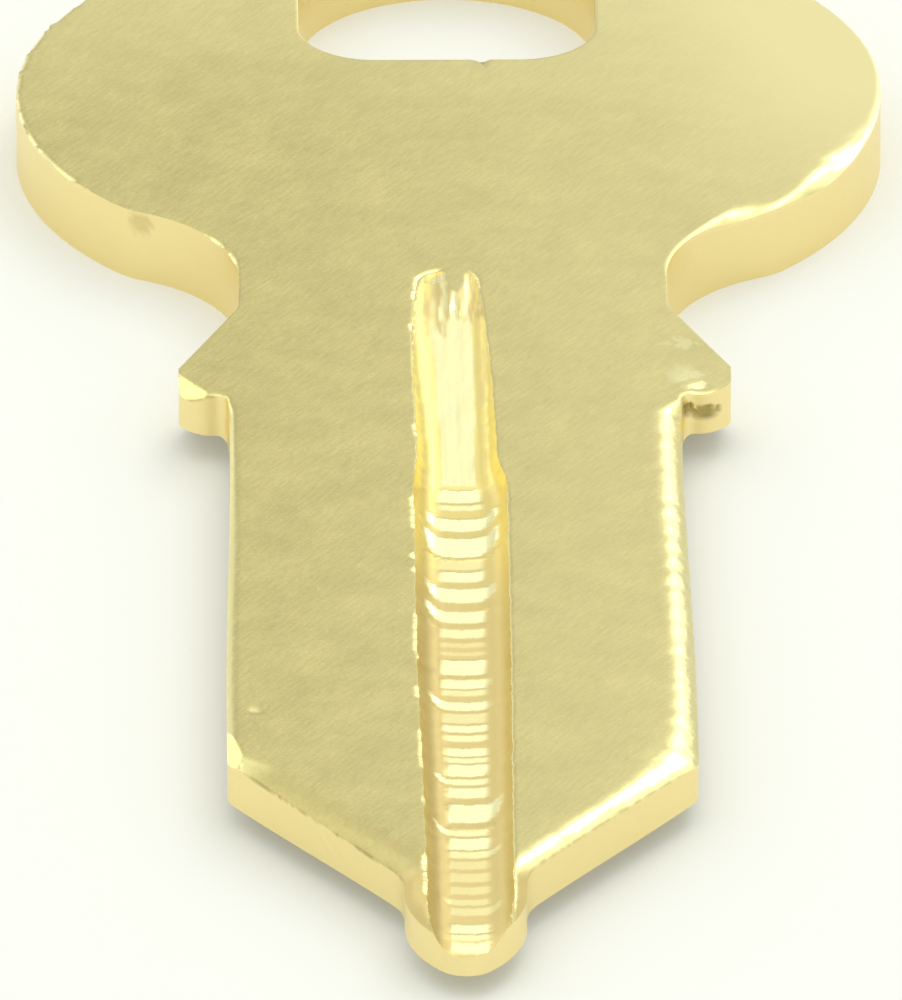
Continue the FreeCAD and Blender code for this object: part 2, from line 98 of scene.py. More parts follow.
def smooth(low, high, value):
    """0 below low, 1 above high, and a smooth step between."""
    share = np.clip((value - low) / (high - low), 0.0, 1.0)
    return share * share * (3.0 - 2.0 * share)


def bump(value, middle, reach):
    """1 at the middle, falling off smoothly over about the reach on both sides."""
    return np.exp(-((value - middle) / reach) ** 2)


def blend(share, one, two):
    return one + (two - one) * share


def waves(x, y, seed, size):
    """Smooth uneven values from about -1 to 1 over the plane, with bumps of about that size."""
    turn = np.random.RandomState(seed)
    total = np.zeros(np.broadcast(x, y).shape)
    for octave in range(4):
        reach = 2 * math.pi / (size * 0.6 ** octave)
        for _ in range(3):
            angle = turn.uniform(0, math.pi)
            shift = turn.uniform(0, 2 * math.pi)
            along = x * math.cos(angle) + y * math.sin(angle)
            total += 0.75 ** octave * np.sin(reach * turn.uniform(0.7, 1.3) * along + shift)
    return total / 4.0


# Outline, built for the right half from the end of the nose round to the far end of the bow


class Path:
    """A chain of lines and arcs, kept as points at even steps."""

    def __init__(self, x, y):
        self.points = [(x, y)]

    def line(self, x, y):
        x0, y0 = self.points[-1]
        parts = max(1, math.ceil(math.hypot(x - x0, y - y0) / STEP))
        for i in range(1, parts + 1):
            self.points.append((x0 + (x - x0) * i / parts, y0 + (y - y0) * i / parts))

    def arc(self, cx, cy, x, y, left=True):
        x0, y0 = self.points[-1]
        radius = math.hypot(x0 - cx, y0 - cy)
        start = math.atan2(y0 - cy, x0 - cx)
        sweep = (math.atan2(y - cy, x - cx) - start) % (2 * math.pi)
        if not left:
            sweep -= 2 * math.pi
        parts = max(3, math.ceil(abs(sweep) * max(radius / STEP, 8 / math.pi)))
        for i in range(1, parts + 1):
            angle = start + sweep * i / parts
            self.points.append((cx + radius * math.cos(angle), cy + radius * math.sin(angle)))


def toward(a, b, length):
    gap = math.dist(a, b)
    return (a[0] + (b[0] - a[0]) * length / gap, a[1] + (b[1] - a[1]) * length / gap)


def corner(before, at, after, radius):
    """Where a rounded corner starts and ends between two straight sides, and its centre."""
    ua = toward((0, 0), (before[0] - at[0], before[1] - at[1]), 1)
    ub = toward((0, 0), (after[0] - at[0], after[1] - at[1]), 1)
    half = math.acos(ua[0] * ub[0] + ua[1] * ub[1]) / 2
    setback = radius / math.tan(half)
    centre = toward(at, (at[0] + ua[0] + ub[0], at[1] + ua[1] + ub[1]), radius / math.sin(half))
    return toward(at, before, setback), toward(at, after, setback), centre


HALF_BLADE = BLADE_WIDTH / 2
HALF_NECK = HALF_BLADE - NECK_INSET
HALF_STOP = HALF_BLADE + STOP_REACH
HALF_NOSE = NOSE_WIDTH / 2
HALF_HOLE = HOLE_WIDTH / 2
DOME_RADIUS = FAR_RIM + HALF_HOLE
DOME_Y = BOW_LENGTH - DOME_RADIUS
LOBE = (LOBE_OFFSET, (BOW_LENGTH + BOW_START) / 2)
LOBE_RADIUS = BOW_WIDTH / 2 - LOBE_OFFSET
NOSE_CORNER = (HALF_NOSE, NOSE_LENGTH - BLADE_LENGTH)
SHOULDER = (HALF_BLADE, NOSE_CORNER[1] + (HALF_BLADE - HALF_NOSE) / math.tan(TIP_HALF_ANGLE))


def right_half():
    """Points of the right half of the outline, from the nose's end to the middle of the far end."""
    flank_start = (HALF_NOSE, NOSE_CORNER[1] - NOSE_SIDE)
    end_centre = (0.0, NOSE_END_RADIUS - BLADE_LENGTH)
    rise = flank_start[1] - end_centre[1]
    flank_radius = ((HALF_NOSE ** 2 + rise ** 2 - NOSE_END_RADIUS ** 2)
                    / (2 * (HALF_NOSE - NOSE_END_RADIUS)))
    flank_centre = (HALF_NOSE - flank_radius, flank_start[1])
    stop_in, stop_out = (HALF_BLADE, 0.0), (HALF_STOP, 0.0)
    turn = toward((LOBE[0] + math.cos(LOBE_CORNER_ANGLE) * LOBE_RADIUS,
                   LOBE[1] - math.sin(LOBE_CORNER_ANGLE) * LOBE_RADIUS), LOBE, LOBE_CORNER_RADIUS)
    hollow_x = HALF_NECK + NECK_FILLET_RADIUS
    between = NECK_FILLET_RADIUS + LOBE_CORNER_RADIUS
    hollow = (hollow_x, turn[1] - math.sqrt(between ** 2 - (hollow_x - turn[0]) ** 2))
    flare_out, flare_in = (HALF_STOP, STOP_SIDE), (HALF_NECK, hollow[1] - NECK_LENGTH)
    span = math.hypot(LOBE[0], DOME_Y - LOBE[1])
    lean = (math.atan2(DOME_Y - LOBE[1], -LOBE[0])
            - math.acos((LOBE_RADIUS - DOME_RADIUS) / span))

    side = Path(0.0, -BLADE_LENGTH)
    side.arc(*end_centre, *toward(flank_centre, end_centre, flank_radius))
    side.arc(*flank_centre, *flank_start)
    for before, at, after, radius, left in (
            (flank_start, NOSE_CORNER, SHOULDER, NOSE_FILLET_RADIUS, False),
            (NOSE_CORNER, SHOULDER, stop_in, SHOULDER_RADIUS, True),
            (SHOULDER, stop_in, stop_out, STOP_ROOT_RADIUS, False),
            (stop_in, stop_out, flare_out, STOP_CORNER_RADIUS, True)):
        start, end, centre = corner(before, at, after, radius)
        side.line(*start)
        side.arc(*centre, *end, left)
    side.line(*flare_out)
    start, end, centre = corner(flare_out, flare_in, (HALF_NECK, hollow[1]), FLARE_CORNER_RADIUS)
    along = (RELIEF_Y - flare_out[1]) / (flare_in[1] - flare_out[1])
    relief_x = flare_out[0] + (flare_in[0] - flare_out[0]) * along
    side.line(relief_x, RELIEF_Y)
    side.line(*start)
    side.arc(*centre, *end, False)
    side.line(HALF_NECK, hollow[1])
    side.arc(*hollow, *toward(turn, hollow, LOBE_CORNER_RADIUS), False)
    side.arc(*turn, *toward(LOBE, turn, LOBE_RADIUS))
    side.arc(*LOBE, LOBE[0] + LOBE_RADIUS * math.cos(lean), LOBE[1] + LOBE_RADIUS * math.sin(lean))
    side.line(DOME_RADIUS * math.cos(lean), DOME_Y + DOME_RADIUS * math.sin(lean))
    side.arc(0.0, DOME_Y, 0.0, BOW_LENGTH)
    return side.points


def hole_rim():
    """The hole as an anticlockwise ring, from the left end of its straight near edge."""
    near = BOW_LENGTH - FAR_RIM - HOLE_LENGTH
    inner = HALF_HOLE - HOLE_CORNER_RADIUS
    rim = Path(-inner, near)
    rim.line(inner, near)
    rim.arc(inner, near + HOLE_CORNER_RADIUS, HALF_HOLE, near + HOLE_CORNER_RADIUS)
    rim.line(HALF_HOLE, DOME_Y)
    rim.arc(0.0, DOME_Y, -HALF_HOLE, DOME_Y)
    rim.line(-HALF_HOLE, near + HOLE_CORNER_RADIUS)
    rim.arc(-inner, near + HOLE_CORNER_RADIUS, -inner, near)
    return np.array(rim.points[:-1])


# How far the blade's sides are pressed out near the shoulders, and drawn in all along
PRESSED_OUT = 0.15
DRAWN_IN = 0.04


def whole_outline():
    """Both halves as one anticlockwise ring, with the blade's sides pressed out near the shoulders."""
    half = right_half()
    ring = np.array(half + [(-x, y) for x, y in half[-2:0:-1]])
    side, y = np.sign(ring[:, 0]), ring[:, 1]
    pressed = PRESSED_OUT * smooth(-3.0, -17.0, y) * smooth(-26.0, -21.0, y) - DRAWN_IN
    ring[:, 0] += side * pressed * smooth(-0.3, -0.9, y) * smooth(-27.0, -26.0, y)
    return ring


outline = whole_outline()
hole = hole_rim()


def normals_in(ring):
    """Unit vectors to the left of a ring's direction, so into an anticlockwise outline."""
    along = np.roll(ring, -1, 0) - np.roll(ring, 1, 0)
    along /= np.linalg.norm(along, axis=1)[:, None]
    return np.stack([-along[:, 1], along[:, 0]], 1)


def distance(points, ring):
    """Shortest distance from each point to a closed ring."""
    tree = kdtree.KDTree(len(ring))
    for i, (x, y) in enumerate(ring):
        tree.insert((x, y, 0.0), i)
    tree.balance()
    nearest = np.array([tree.find((x, y, 0.0))[1] for x, y in points])
    result = np.full(len(points), np.inf)
    for a, b in ((nearest - 1, nearest), (nearest, (nearest + 1) % len(ring))):
        edge = ring[b] - ring[a]
        away = points - ring[a]
        share = np.clip((away * edge).sum(1) / (edge ** 2).sum(1), 0.0, 1.0)
        result = np.minimum(result, np.linalg.norm(away - share[:, None] * edge, axis=1))
    return result


def inside(points, ring):
    """True for the points that a closed ring goes round."""
    x0, y0 = ring[:, 0], ring[:, 1]
    x1, y1 = np.roll(x0, -1), np.roll(y0, -1)
    result = np.empty(len(points), bool)
    for start in range(0, len(points), 4000):
        px = points[start:start + 4000, 0][:, None]
        py = points[start:start + 4000, 1][:, None]
        spans = (y0 > py) != (y1 > py)
        with np.errstate(divide="ignore", invalid="ignore"):
            cross = x0 + (py - y0) * (x1 - x0) / (y1 - y0)
        result[start:start + 4000] = (spans & (px < cross)).sum(1) % 2 == 1
    return result


# Tool marks across the groove's floor, from the run-out to the nose: where each begins, the
# length of its burnished slope, how bright and steep it is (1 is the usual), and how far it
# climbs the left and right walls (0 to 1)
MARKS = (
    (-4.48, 0.64, 1.0, 0.0, 0.0), (-5.33, 0.24, 0.8, 0.0, 0.0), (-6.08, 0.64, 1.1, 0.6, 0.8),
    (-7.20, 0.98, 1.0, 0.8, 0.8), (-8.44, 0.50, 0.5, 0.1, 0.1), (-9.08, 0.52, 1.1, 0.15, 0.1),
    (-10.05, 0.70, 1.0, 0.7, 0.6), (-11.36, 0.54, 1.1, 0.8, 0.15), (-12.35, 0.42, 0.8, 0.0, 0.1),
    (-13.10, 0.22, 0.35, 0.0, 0.0), (-13.58, 0.20, 0.35, 0.0, 0.0), (-14.05, 0.76, 1.1, 0.1, 0.1),
    (-15.18, 0.44, 1.1, 0.15, 0.2), (-15.72, 0.30, 0.65, 0.0, 0.1), (-16.38, 0.44, 1.1, 0.7, 0.2),
    (-17.05, 0.50, 0.5, 0.0, 0.1), (-17.68, 0.36, 1.1, 0.1, 0.1), (-18.25, 0.30, 0.9, 0.0, 0.0),
    (-18.96, 0.42, 1.1, 0.0, 0.0), (-19.50, 0.26, 0.85, 0.0, 0.0), (-19.86, 0.62, 1.1, 0.0, 0.0),
    (-20.70, 0.27, 0.9, 0.6, 0.0), (-21.15, 0.52, 1.0, 0.0, 0.0), (-22.10, 0.90, 1.1, 0.0, 0.7),
    (-23.52, 0.28, 0.8, 0.8, 0.0), (-23.94, 0.60, 1.1, 0.0, 0.2), (-24.68, 0.34, 0.7, 0.0, 0.6),
    (-25.20, 0.42, 0.4, 0.0, 0.0), (-25.85, 0.48, 0.4, 0.0, 0.1), (-26.60, 0.40, 0.4, 0.0, 0.1),
    (-27.30, 0.30, 0.45, 0.3, 0.0), (-27.75, 0.40, 0.45, 0.0, 0.6), (-28.68, 0.46, 1.1, 0.0, 0.0),
    (-29.22, 0.22, 0.75, 0.0, 0.0), (-29.52, 0.34, 1.1, 0.0, 0.0),
)

# Drop of a mark for its length, how far a mark bows back on the floor and up the walls, and where
# the burnished run-out gives way to a marked floor that lies a little lower
MARK_SLOPE = 0.085
MARK_BOW = 0.07
WALL_BOW = 0.75
BURNISHED_END = -4.25
MARKED_FLOOR_DROP = 0.03

# The torn tongue that the cutter left at the shallow end of the run-out, wider towards the end
TONGUE_RISE = 0.09
TONGUE_TIP = 4.6
TONGUE_MIDDLE = -0.02
TONGUE_WIDTHS = (0.10, 0.36)

# Height of the fine streaks along the run-out, the dip of the floor at the nose's end, and how far
# above the face the milled surface stands where the cutter did not reach
STREAK_HEIGHT = 0.005
NOSE_DIP = 0.2
UNTOUCHED = 1.0

# Bright stretches of the rim as (from y, to y, width of its bevel), the width elsewhere, what the
# right rim has more, and how steep the bevel is. The stretch at the run-out's end goes right round
RIM_STROKES = (
    (8.0, 6.0, 0.08), (5.9, 5.4, 0.08), (4.0, 3.6, 0.09), (-1.8, -2.5, 0.09), (-5.9, -7.7, 0.1),
    (-9.1, -9.4, 0.14), (-9.9, -10.2, 0.1), (-12.5, -15.0, 0.09), (-16.6, -17.2, 0.12),
    (-19.0, -21.1, 0.09), (-22.7, -23.1, 0.1), (-25.9, -28.1, 0.15),
)
RIM_WIDTH = 0.02
RIGHT_RIM_EXTRA = 0.045
RIM_SLOPE = 0.5

# How much narrower the left and right halves of the rim get towards the tip, and on the run-out
TIP_NARROWING = (0.13, 0.06)
LEFT_RUNOUT_NARROWING = (0.08, -0.22)
RIGHT_RUNOUT_NARROWING = 0.2


def rim_width(y, side):
    """Width of the rim's bevel; side is -1 for the left rim and 1 for the right."""
    width = RIM_WIDTH + RIGHT_RIM_EXTRA * smooth(0, 0.5, side) * smooth(RUNOUT_END, RUNOUT_END - 1.0, y)
    width = width * np.ones(np.broadcast(y, side).shape)
    round_the_end = smooth(5.5, 6.5, y)
    for start, end, size in RIM_STROKES:
        stroke = smooth(start + 0.1, start - 0.1, y) * smooth(end - 0.1, end + 0.1, y)
        width = width + (size - RIM_WIDTH) * stroke * np.where(side < 0, 1.0, round_the_end)
    return width * (1.0 + 0.25 * waves(y, side * 3.0, 12, 0.5))


def rim_half(y, side):
    """Half width of the groove at its rim; side is -1 for the left rim and 1 for the right."""
    depth = groove_depth(y)
    wall = np.sqrt(np.clip(GROOVE_CORNER ** 2 - (GROOVE_CORNER - depth) ** 2, 0.0, None))
    narrowing = np.where(side < 0, *TIP_NARROWING) * smooth(-13.0, -27.0, y)
    on_runout = smooth(BURNISHED_END - 1.0, BURNISHED_END + 0.8, y)
    on_left = blend(smooth(-4.0, 5.5, y), *LEFT_RUNOUT_NARROWING)
    narrowing = narrowing + on_runout * np.where(side < 0, on_left, RIGHT_RUNOUT_NARROWING)
    uneven = 0.018 * waves(y, side * 7.0, 11, 1.3) * smooth(RUNOUT_TOP, 4.0, y)
    return GROOVE_FLAT / 2 + wall - narrowing + uneven


def groove_depth(y):
    """Depth of the groove's floor, which rises along the run-out."""
    share = np.clip((RUNOUT_TOP - y) / (RUNOUT_TOP - RUNOUT_END), 0.0, 1.0)
    return RUNOUT_DEPTH + (GROOVE_DEPTH - RUNOUT_DEPTH) * share


def groove_height(x, y):
    """The milled surface (far above the face where the cutter did not reach), with how much of it is
    burnished, banded, or matt with painted shade on the left wall, and the drop of the face at the groove's
    rim."""
    across = x - GROOVE_SHIFT
    past = np.clip(y - RUNOUT_TOP, 0.0, None)
    side = np.sign(across)
    deep = groove_depth(y)
    full = GROOVE_FLAT / 2 + np.sqrt(GROOVE_CORNER ** 2 - (GROOVE_CORNER - deep) ** 2)
    half = rim_half(y, side)
    reach = np.hypot(across, past * half / RUNOUT_END_REACH) * full / half
    beside_floor = reach - GROOVE_FLAT / 2
    up = np.clip(beside_floor, 0.0, GROOVE_CORNER)
    lift = GROOVE_CORNER - np.sqrt(GROOVE_CORNER ** 2 - up ** 2)
    height = THICK - deep + lift
    height = height + np.where(reach > GROOVE_FLAT / 2 + GROOVE_CORNER, UNTOUCHED, 0.0)

    streaks = waves(across, y * 0.02, 5, 0.3) + 0.8 * waves(across, y * 0.03, 6, 0.1)
    runout_edge = y + 1.7 * lift + 0.12 * streaks * smooth(0, 0.1, lift)
    on_ramp = smooth(BURNISHED_END - 0.08, BURNISHED_END + 0.04, runout_edge)
    lengthwise = STREAK_HEIGHT * streaks * on_ramp
    ragged = 0.9 * waves(across, y * 0.12, 8, 0.42)
    tongue = TONGUE_RISE * smooth(TONGUE_TIP - 0.6, RUNOUT_TOP - 0.4, y + ragged)
    tongue_width = blend(smooth(TONGUE_TIP - 1.0, RUNOUT_TOP, y), *TONGUE_WIDTHS)
    raw = smooth(3.9, 4.7, y + ragged) * smooth(-0.7, 0.5, streaks)
    height = height + tongue * bump(across, TONGUE_MIDDLE, tongue_width)
    marks, barred = chatter(across, y, up)

    flat = smooth(0.03, -0.05, beside_floor + 0.05 * streaks)
    clean = 1.0 - 0.9 * raw
    core = on_ramp * flat * (1.0 - 0.25 * np.clip(streaks, 0, 1)) * clean
    wall = smooth(0.0, 0.15, beside_floor)
    warm_below = 0.5 * smooth(-12.0, -7.0, y)
    sides = (1 - flat) * (1 - 0.8 * np.clip(streaks, 0, 1)) * clean
    # Matt colour below the run-out, with painted shade on the left wall, which is painted far darker than the
    # right; the torn patches are matt metal
    matt_and_shaded_walls = blend(wall, 0.25, np.where(across < 0, 1.0, 0.2))
    kinds = {
        "burnished": np.maximum(core, barred),
        "band": blend(on_ramp, warm_below, sides),
        "matt_and_painted_shade": np.maximum((1 - on_ramp) * (1 - barred) * matt_and_shaded_walls, 0.8 * raw),
    }
    dip = NOSE_DIP * smooth(-29.2, -30.0, y)
    bevel = rim_width(y, side)
    rim = np.clip(1.0 - np.abs(reach - full) / bevel, 0.0, None)
    rim = rim * np.where(past > 0, smooth(0.3, 0.45, np.abs(across)), 1.0)
    return height + lengthwise + marks - dip, kinds, RIM_SLOPE * bevel * rim


def chatter(across, y, up):
    """Sawtooth left by the cutter: each mark slopes down towards the tip, burnished, then rises again."""
    total = np.zeros(np.broadcast(across, y).shape)
    barred = np.zeros(total.shape)
    wall = np.clip(up / GROOVE_CORNER, 0.0, 1.0)
    bend = MARK_BOW * (across / (GROOVE_FLAT / 2)) ** 2 + WALL_BOW * wall ** 2
    ragged = 0.025 * waves(across * 3.0, y * 0.5, 21, 0.8)
    ends = [mark[0] for mark in MARKS[1:]] + [-BLADE_LENGTH - 0.2]
    for i, (start, length, steep, left, right) in enumerate(MARKS):
        past = start + bend + ragged - y
        climb = np.where(across < 0, left, right)
        ragged_wall = wall + 0.02 * waves(y * 4.0, across, i, 0.9)
        fade = 1.0 - smooth(0.7 * climb, 0.07 + 0.75 * climb, ragged_wall)
        drop = MARK_SLOPE * steep * length
        rise = start - length - ends[i]
        tooth = np.where(past < length, 0.5 - past / length, (past - length) / rise - 0.5)
        total += np.where((past > 0) & (past < length + rise), drop * tooth * fade, 0.0)
        thin = length * (1 - 0.55 * wall)
        shine = smooth(-0.01, 0.03, past) * smooth(thin + 0.02, thin - 0.03, past)
        barred = np.maximum(barred, shine * fade * np.clip(steep, 0, 1))
    return total - MARKED_FLOOR_DROP * smooth(BURNISHED_END, BURNISHED_END - 0.3, y), barred


# Pressed-over top edges, each as its width and drop. A pair of widths or drops runs from the first to
# the second towards the tip. The shoulder's comes on top of its neighbours', on the right only
LEFT_BLADE_WIDTHS = (0.20, 0.33)
LEFT_BLADE_DROP = 0.10
LEFT_POINT_WIDTH = 0.90
LEFT_POINT_DROPS = (0.20, 0.38)
RIGHT_BLADE_ROLL = (0.74, 0.30)
RIGHT_POINT_ROLL = (0.62, 0.21)
SHOULDER_ROLL = (0.30, 0.08)
NOSE_ROLL = (0.5, 0.38)
STOP_ROLL = (0.12, 0.06)
BOW_ROLL = (0.04, 0.006)
BOW_LEFT_ROLL = (0.14, 0.07)
HOLE_ROLL = 0.05

# Two places where the bow's right front edge is pressed over as (x, reach, width), the narrow band
# between them, and the drop for a width
LENSES = ((7.3, 0.75, 0.42), (9.6, 0.9, 0.58))
LENS_BAND = 0.08
LENS_DROP = 0.36


def blade_roll(x, y):
    """Width and drop of the pressed-over edge from the stops to the nose."""
    right = smooth(-0.5, 0.5, x)
    on_point = smooth(SHOULDER[1] + 0.6, SHOULDER[1] - 0.9, y)
    on_nose = smooth(NOSE_CORNER[1] + 0.4, NOSE_CORNER[1] - 0.5, y)
    shoulder = bump(y, SHOULDER[1], 1.3)
    left_width = blend(smooth(-2.0, -9.0, y), *LEFT_BLADE_WIDTHS)
    left_point_drop = blend(smooth(SHOULDER[1], NOSE_CORNER[1], y), *LEFT_POINT_DROPS)
    width = blend(right, blend(on_point, left_width, LEFT_POINT_WIDTH),
                  blend(on_point, RIGHT_BLADE_ROLL[0], RIGHT_POINT_ROLL[0]))
    drop = blend(right, blend(on_point, LEFT_BLADE_DROP, left_point_drop),
                 blend(on_point, RIGHT_BLADE_ROLL[1], RIGHT_POINT_ROLL[1]))
    width = width + shoulder * SHOULDER_ROLL[0] * right
    drop = drop + SHOULDER_ROLL[1] * shoulder * right
    return blend(on_nose, width, NOSE_ROLL[0]), blend(on_nose, drop, NOSE_ROLL[1])


def bow_roll(x, y):
    """Width and drop of the pressed-over edge round the bow and the stops."""
    front_right = smooth(4.5, 5.5, x) * smooth(20.0, 16.0, y) * smooth(6.5, 7.5, y)
    lens = LENS_BAND
    for middle, reach, size in LENSES:
        lens = lens + size * bump(x, middle, reach)
    lobe = smooth(-9.0, -9.4, x)
    neck = smooth(-5.3, -5.5, x) * smooth(-6.4, -6.1, x) * smooth(5.0, 7.0, y)
    front_left = (lobe + neck) * smooth(-0.6, -0.1, waves(x, y, 44, 1.4))
    width = BOW_ROLL[0] + front_right * lens + BOW_LEFT_ROLL[0] * front_left
    drop = BOW_ROLL[1] + front_right * lens * LENS_DROP + BOW_LEFT_ROLL[1] * front_left
    on_stop = smooth(2.2, 1.2, y) * smooth(5.2, 5.6, np.abs(x))
    stop_drop = STOP_ROLL[1] * smooth(6.7, 6.3, np.abs(x))
    return blend(on_stop, width, STOP_ROLL[0]), blend(on_stop, drop, stop_drop)


def edge_roll(x, y):
    """Width of the pressed-over top edge, and how far it drops."""
    on_blade = smooth(-0.3, -1.2, y)
    uneven = 1.0 + 0.09 * waves(x, y, 3, 1.6) + 0.04 * waves(x, y, 4, 0.5)
    width, drop = blade_roll(x, y)
    bow_width, bow_drop = bow_roll(x, y)
    return blend(on_blade, bow_width, width) * uneven, blend(on_blade, bow_drop, drop)


# Corners pressed flat as (x, y, compass direction in degrees, slope, lowest y), each a plane that
# starts at the place and falls towards the direction, and the plane's greatest length
PRESSED_CORNERS = ((-5.64, -19.2, 192.0, 0.75, -22.5), (-6.67, 0.87, 214.0, 0.65, -0.3))
PRESSED_LENGTH = 0.5


# Dents as (x, y, radius, depth), each a shallow bowl in the top face or on an edge
DENTS = (
    (0.85, 19.55, 0.22, 0.1), (6.1, 0.25, 0.35, 0.05), (5.0, -4.4, 0.14, 0.015), (4.9, -9.7, 0.12, 0.015),
    (-5.1, -17.9, 0.2, 0.05), (-2.6, -16.2, 0.16, 0.02), (-3.4, -12.0, 0.12, 0.015),
    (3.1, -14.2, 0.1, 0.012), (-6.0, 15.5, 0.12, 0.012), (3.8, 4.2, 0.14, 0.015),
)

# Worn patches of the top face as (x, y, radius, strength)
SCUFFS = ((5.9, 1.0, 0.35, 0.6), (5.75, 2.8, 0.3, 0.35), (6.1, 0.35, 0.22, 0.9))


def pressed_corners(x, y, face):
    """The face cut down to the pressed planes, and where they show."""
    shown = np.zeros(len(x))
    for px, py, turn, slope, lowest in PRESSED_CORNERS:
        angle = math.radians(turn)
        beyond = (x - px) * math.cos(angle) + (y - py) * math.sin(angle) + 0.012 * waves(x, y, 45, 0.35)
        near = (x < px + 1.0) & (y > lowest)
        plane = THICK - slope * np.clip(beyond, 0.0, PRESSED_LENGTH)
        shown = np.maximum(shown, near * smooth(0.0, 0.02, face - plane))
        face = np.where(near, np.minimum(face, plane), face)
    return face, shown


def top_height(points, away):
    """Height of the top surface, and how much of each kind of metal, painted light and painted shade is on
    it.
    """
    x, y = points[:, 0], points[:, 1]
    width, drop = edge_roll(x, y)
    face = THICK - drop * np.clip(1.0 - away / width, 0.0, None) ** 2
    face, pressed_flat = pressed_corners(x, y, face)
    in_hole_roll = np.clip(HOLE_ROLL - distance(points, hole), 0.0, None)
    face = face - (HOLE_ROLL - np.sqrt(HOLE_ROLL ** 2 - in_hole_roll ** 2))
    for dx, dy, size, depth in DENTS:
        near = np.clip(1.0 - ((x - dx) ** 2 + (y - dy) ** 2) / size ** 2, 0.0, 1.0)
        face = face - depth * near ** 1.5
    milled, kinds, rim = groove_height(x, y)
    face = face - rim
    cut = smooth(-0.004, 0.012, face - milled)
    uncut = 1 - cut
    kinds = {name: value * cut for name, value in kinds.items()}
    kinds["cut"] = cut

    on_point = smooth(SHOULDER[1] - 0.2, SHOULDER[1] - 1.2, y)
    nose = smooth(NOSE_CORNER[1] + 0.5, NOSE_CORNER[1] - 0.4, y)
    # On the left side of the point the top edge is painted in shade: it gets almost none of the worn colour
    # and some of the matt colour
    left_point = on_point * smooth(0.5, -0.5, x) * (1 - nose)
    worn_edge = smooth(0.005, 0.05, THICK - face) * uncut * (1 - 0.9 * left_point)
    worn_rim = 0.8 * smooth(0.012, 0.025, rim) * uncut
    left_point_painted_shade = 0.3 * left_point * smooth(0.0, 0.04, THICK - face) * uncut
    kinds["worn"] = np.maximum(worn_edge, worn_rim)
    kinds["torn"] = uncut * nose * (1 - smooth(0.002, 0.01, rim))
    kinds["band"] = np.maximum(kinds["band"], 0.7 * pressed_flat)
    kinds["matt_and_painted_shade"] = np.maximum(kinds["matt_and_painted_shade"], left_point_painted_shade)
    for sx, sy, size, strength in SCUFFS:
        near = 1.3 - np.hypot(x - sx, y - sy) / size + 0.6 * waves(x, y, 43, 0.3)
        kinds["burnished"] = np.maximum(kinds["burnished"], strength * smooth(0.2, 0.5, near) * uncut)
    # Painted shade: a thin broken dark line along the top edge of the point and the left stop's front
    broken = smooth(-0.6, 0.2, waves(x, y, 41, 0.7))
    left_stop = smooth(-5.9, -6.2, x) * smooth(0.9, 0.5, y) * smooth(-0.2, 0.0, y)
    painted_shade_line = np.maximum(0.8 * on_point * (1 - nose) * np.where(x < 0, 1.0, 0.5), 0.7 * left_stop)
    kinds["hollow"] = painted_shade_line * broken * smooth(0.055, 0.02, away)
    # Painted light: the face is painted lighter towards the right, on the right lobe and towards the far end
    light_towards_right = 0.3 * smooth(-6.0, 6.0, x)
    light_on_right_lobe = 0.6 * smooth(4.0, 10.0, x) * smooth(8.0, 18.0, y)
    light_towards_far_end = 0.4 * smooth(14.0, 26.0, y)
    kinds["painted_light"] = (light_towards_right + light_on_right_lobe + light_towards_far_end) * uncut
    return np.minimum(face, milled), kinds


# How far the underside rises at the stops, more at their outer corners, and just behind them
STOP_RISE = 0.13
STOP_CORNER_RISE = 0.07
BEHIND_STOP_RISE = 0.3


def bottom_height(points):
    """Height of the underside: flat under the bow, raised from just behind the stops to the nose."""
    x, y = np.abs(points[:, 0]), points[:, 1]
    root = np.clip(y - (RELIEF_Y - RELIEF_ROOT_RADIUS), 0.0, RELIEF_ROOT_RADIUS)
    raised = RELIEF_DEPTH - RELIEF_ROOT_RADIUS + np.sqrt(RELIEF_ROOT_RADIUS ** 2 - root ** 2)
    on_stop = smooth(5.6, 5.9, x) * smooth(-0.3, 0.0, y)
    raised = raised + on_stop * (STOP_RISE + STOP_CORNER_RISE * bump(x, HALF_STOP, 0.5) * bump(y, 0.0, 0.6))
    behind = BEHIND_STOP_RISE * smooth(5.6, 6.2, x) * smooth(2.7, 1.8, y)
    return np.where(y > RELIEF_Y + 0.001, behind, raised)


# Hollows in the side faces as (x, y, z, reach along the face, reach in height, strength); each is pressed in
# and also given painted shade
HOLLOWS = (
    (5.82, 0.0, 1.46, 0.15, 0.18, 1.0), (6.10, 0.0, 1.32, 0.2, 0.14, 0.9), (6.36, 0.0, 1.36, 0.22, 0.19, 1.0),
    (6.66, 0.05, 1.38, 0.16, 0.12, 0.9), (-7.9, 10.5, 1.6, 0.34, 0.36, 0.32),
    (8.9, 11.3, 1.4, 0.18, 0.1, 0.3), (-9.3, 12.4, 1.0, 0.08, 0.06, 0.3),
)
HOLLOW_DEPTH = 0.07
WALL_RIPPLE = 0.006
WALL_ROWS = 12


def hollows(ring, z):
    """How much of a hollow each point of a side face has at that height, from 0 to 1."""
    total = np.zeros(len(ring))
    for hx, hy, hz, along, high, strength in HOLLOWS:
        spread = ((ring[:, 0] - hx) ** 2 + (ring[:, 1] - hy) ** 2) / along ** 2 + ((z - hz) / high) ** 2
        total = np.maximum(total, strength * smooth(1.4, 0.6, spread + 0.5 * waves(ring[:, 0], z, 31, 0.2)))
    return total


def offset_rings(ring, insets):
    """Points set in from a ring, without those that a tight corner pushed past the middle."""
    kept = []
    normal = normals_in(ring)
    for inset in insets:
        moved = ring + normal * inset
        kept.append(moved[distance(moved, ring) > inset * 0.97])
    return np.concatenate(kept)


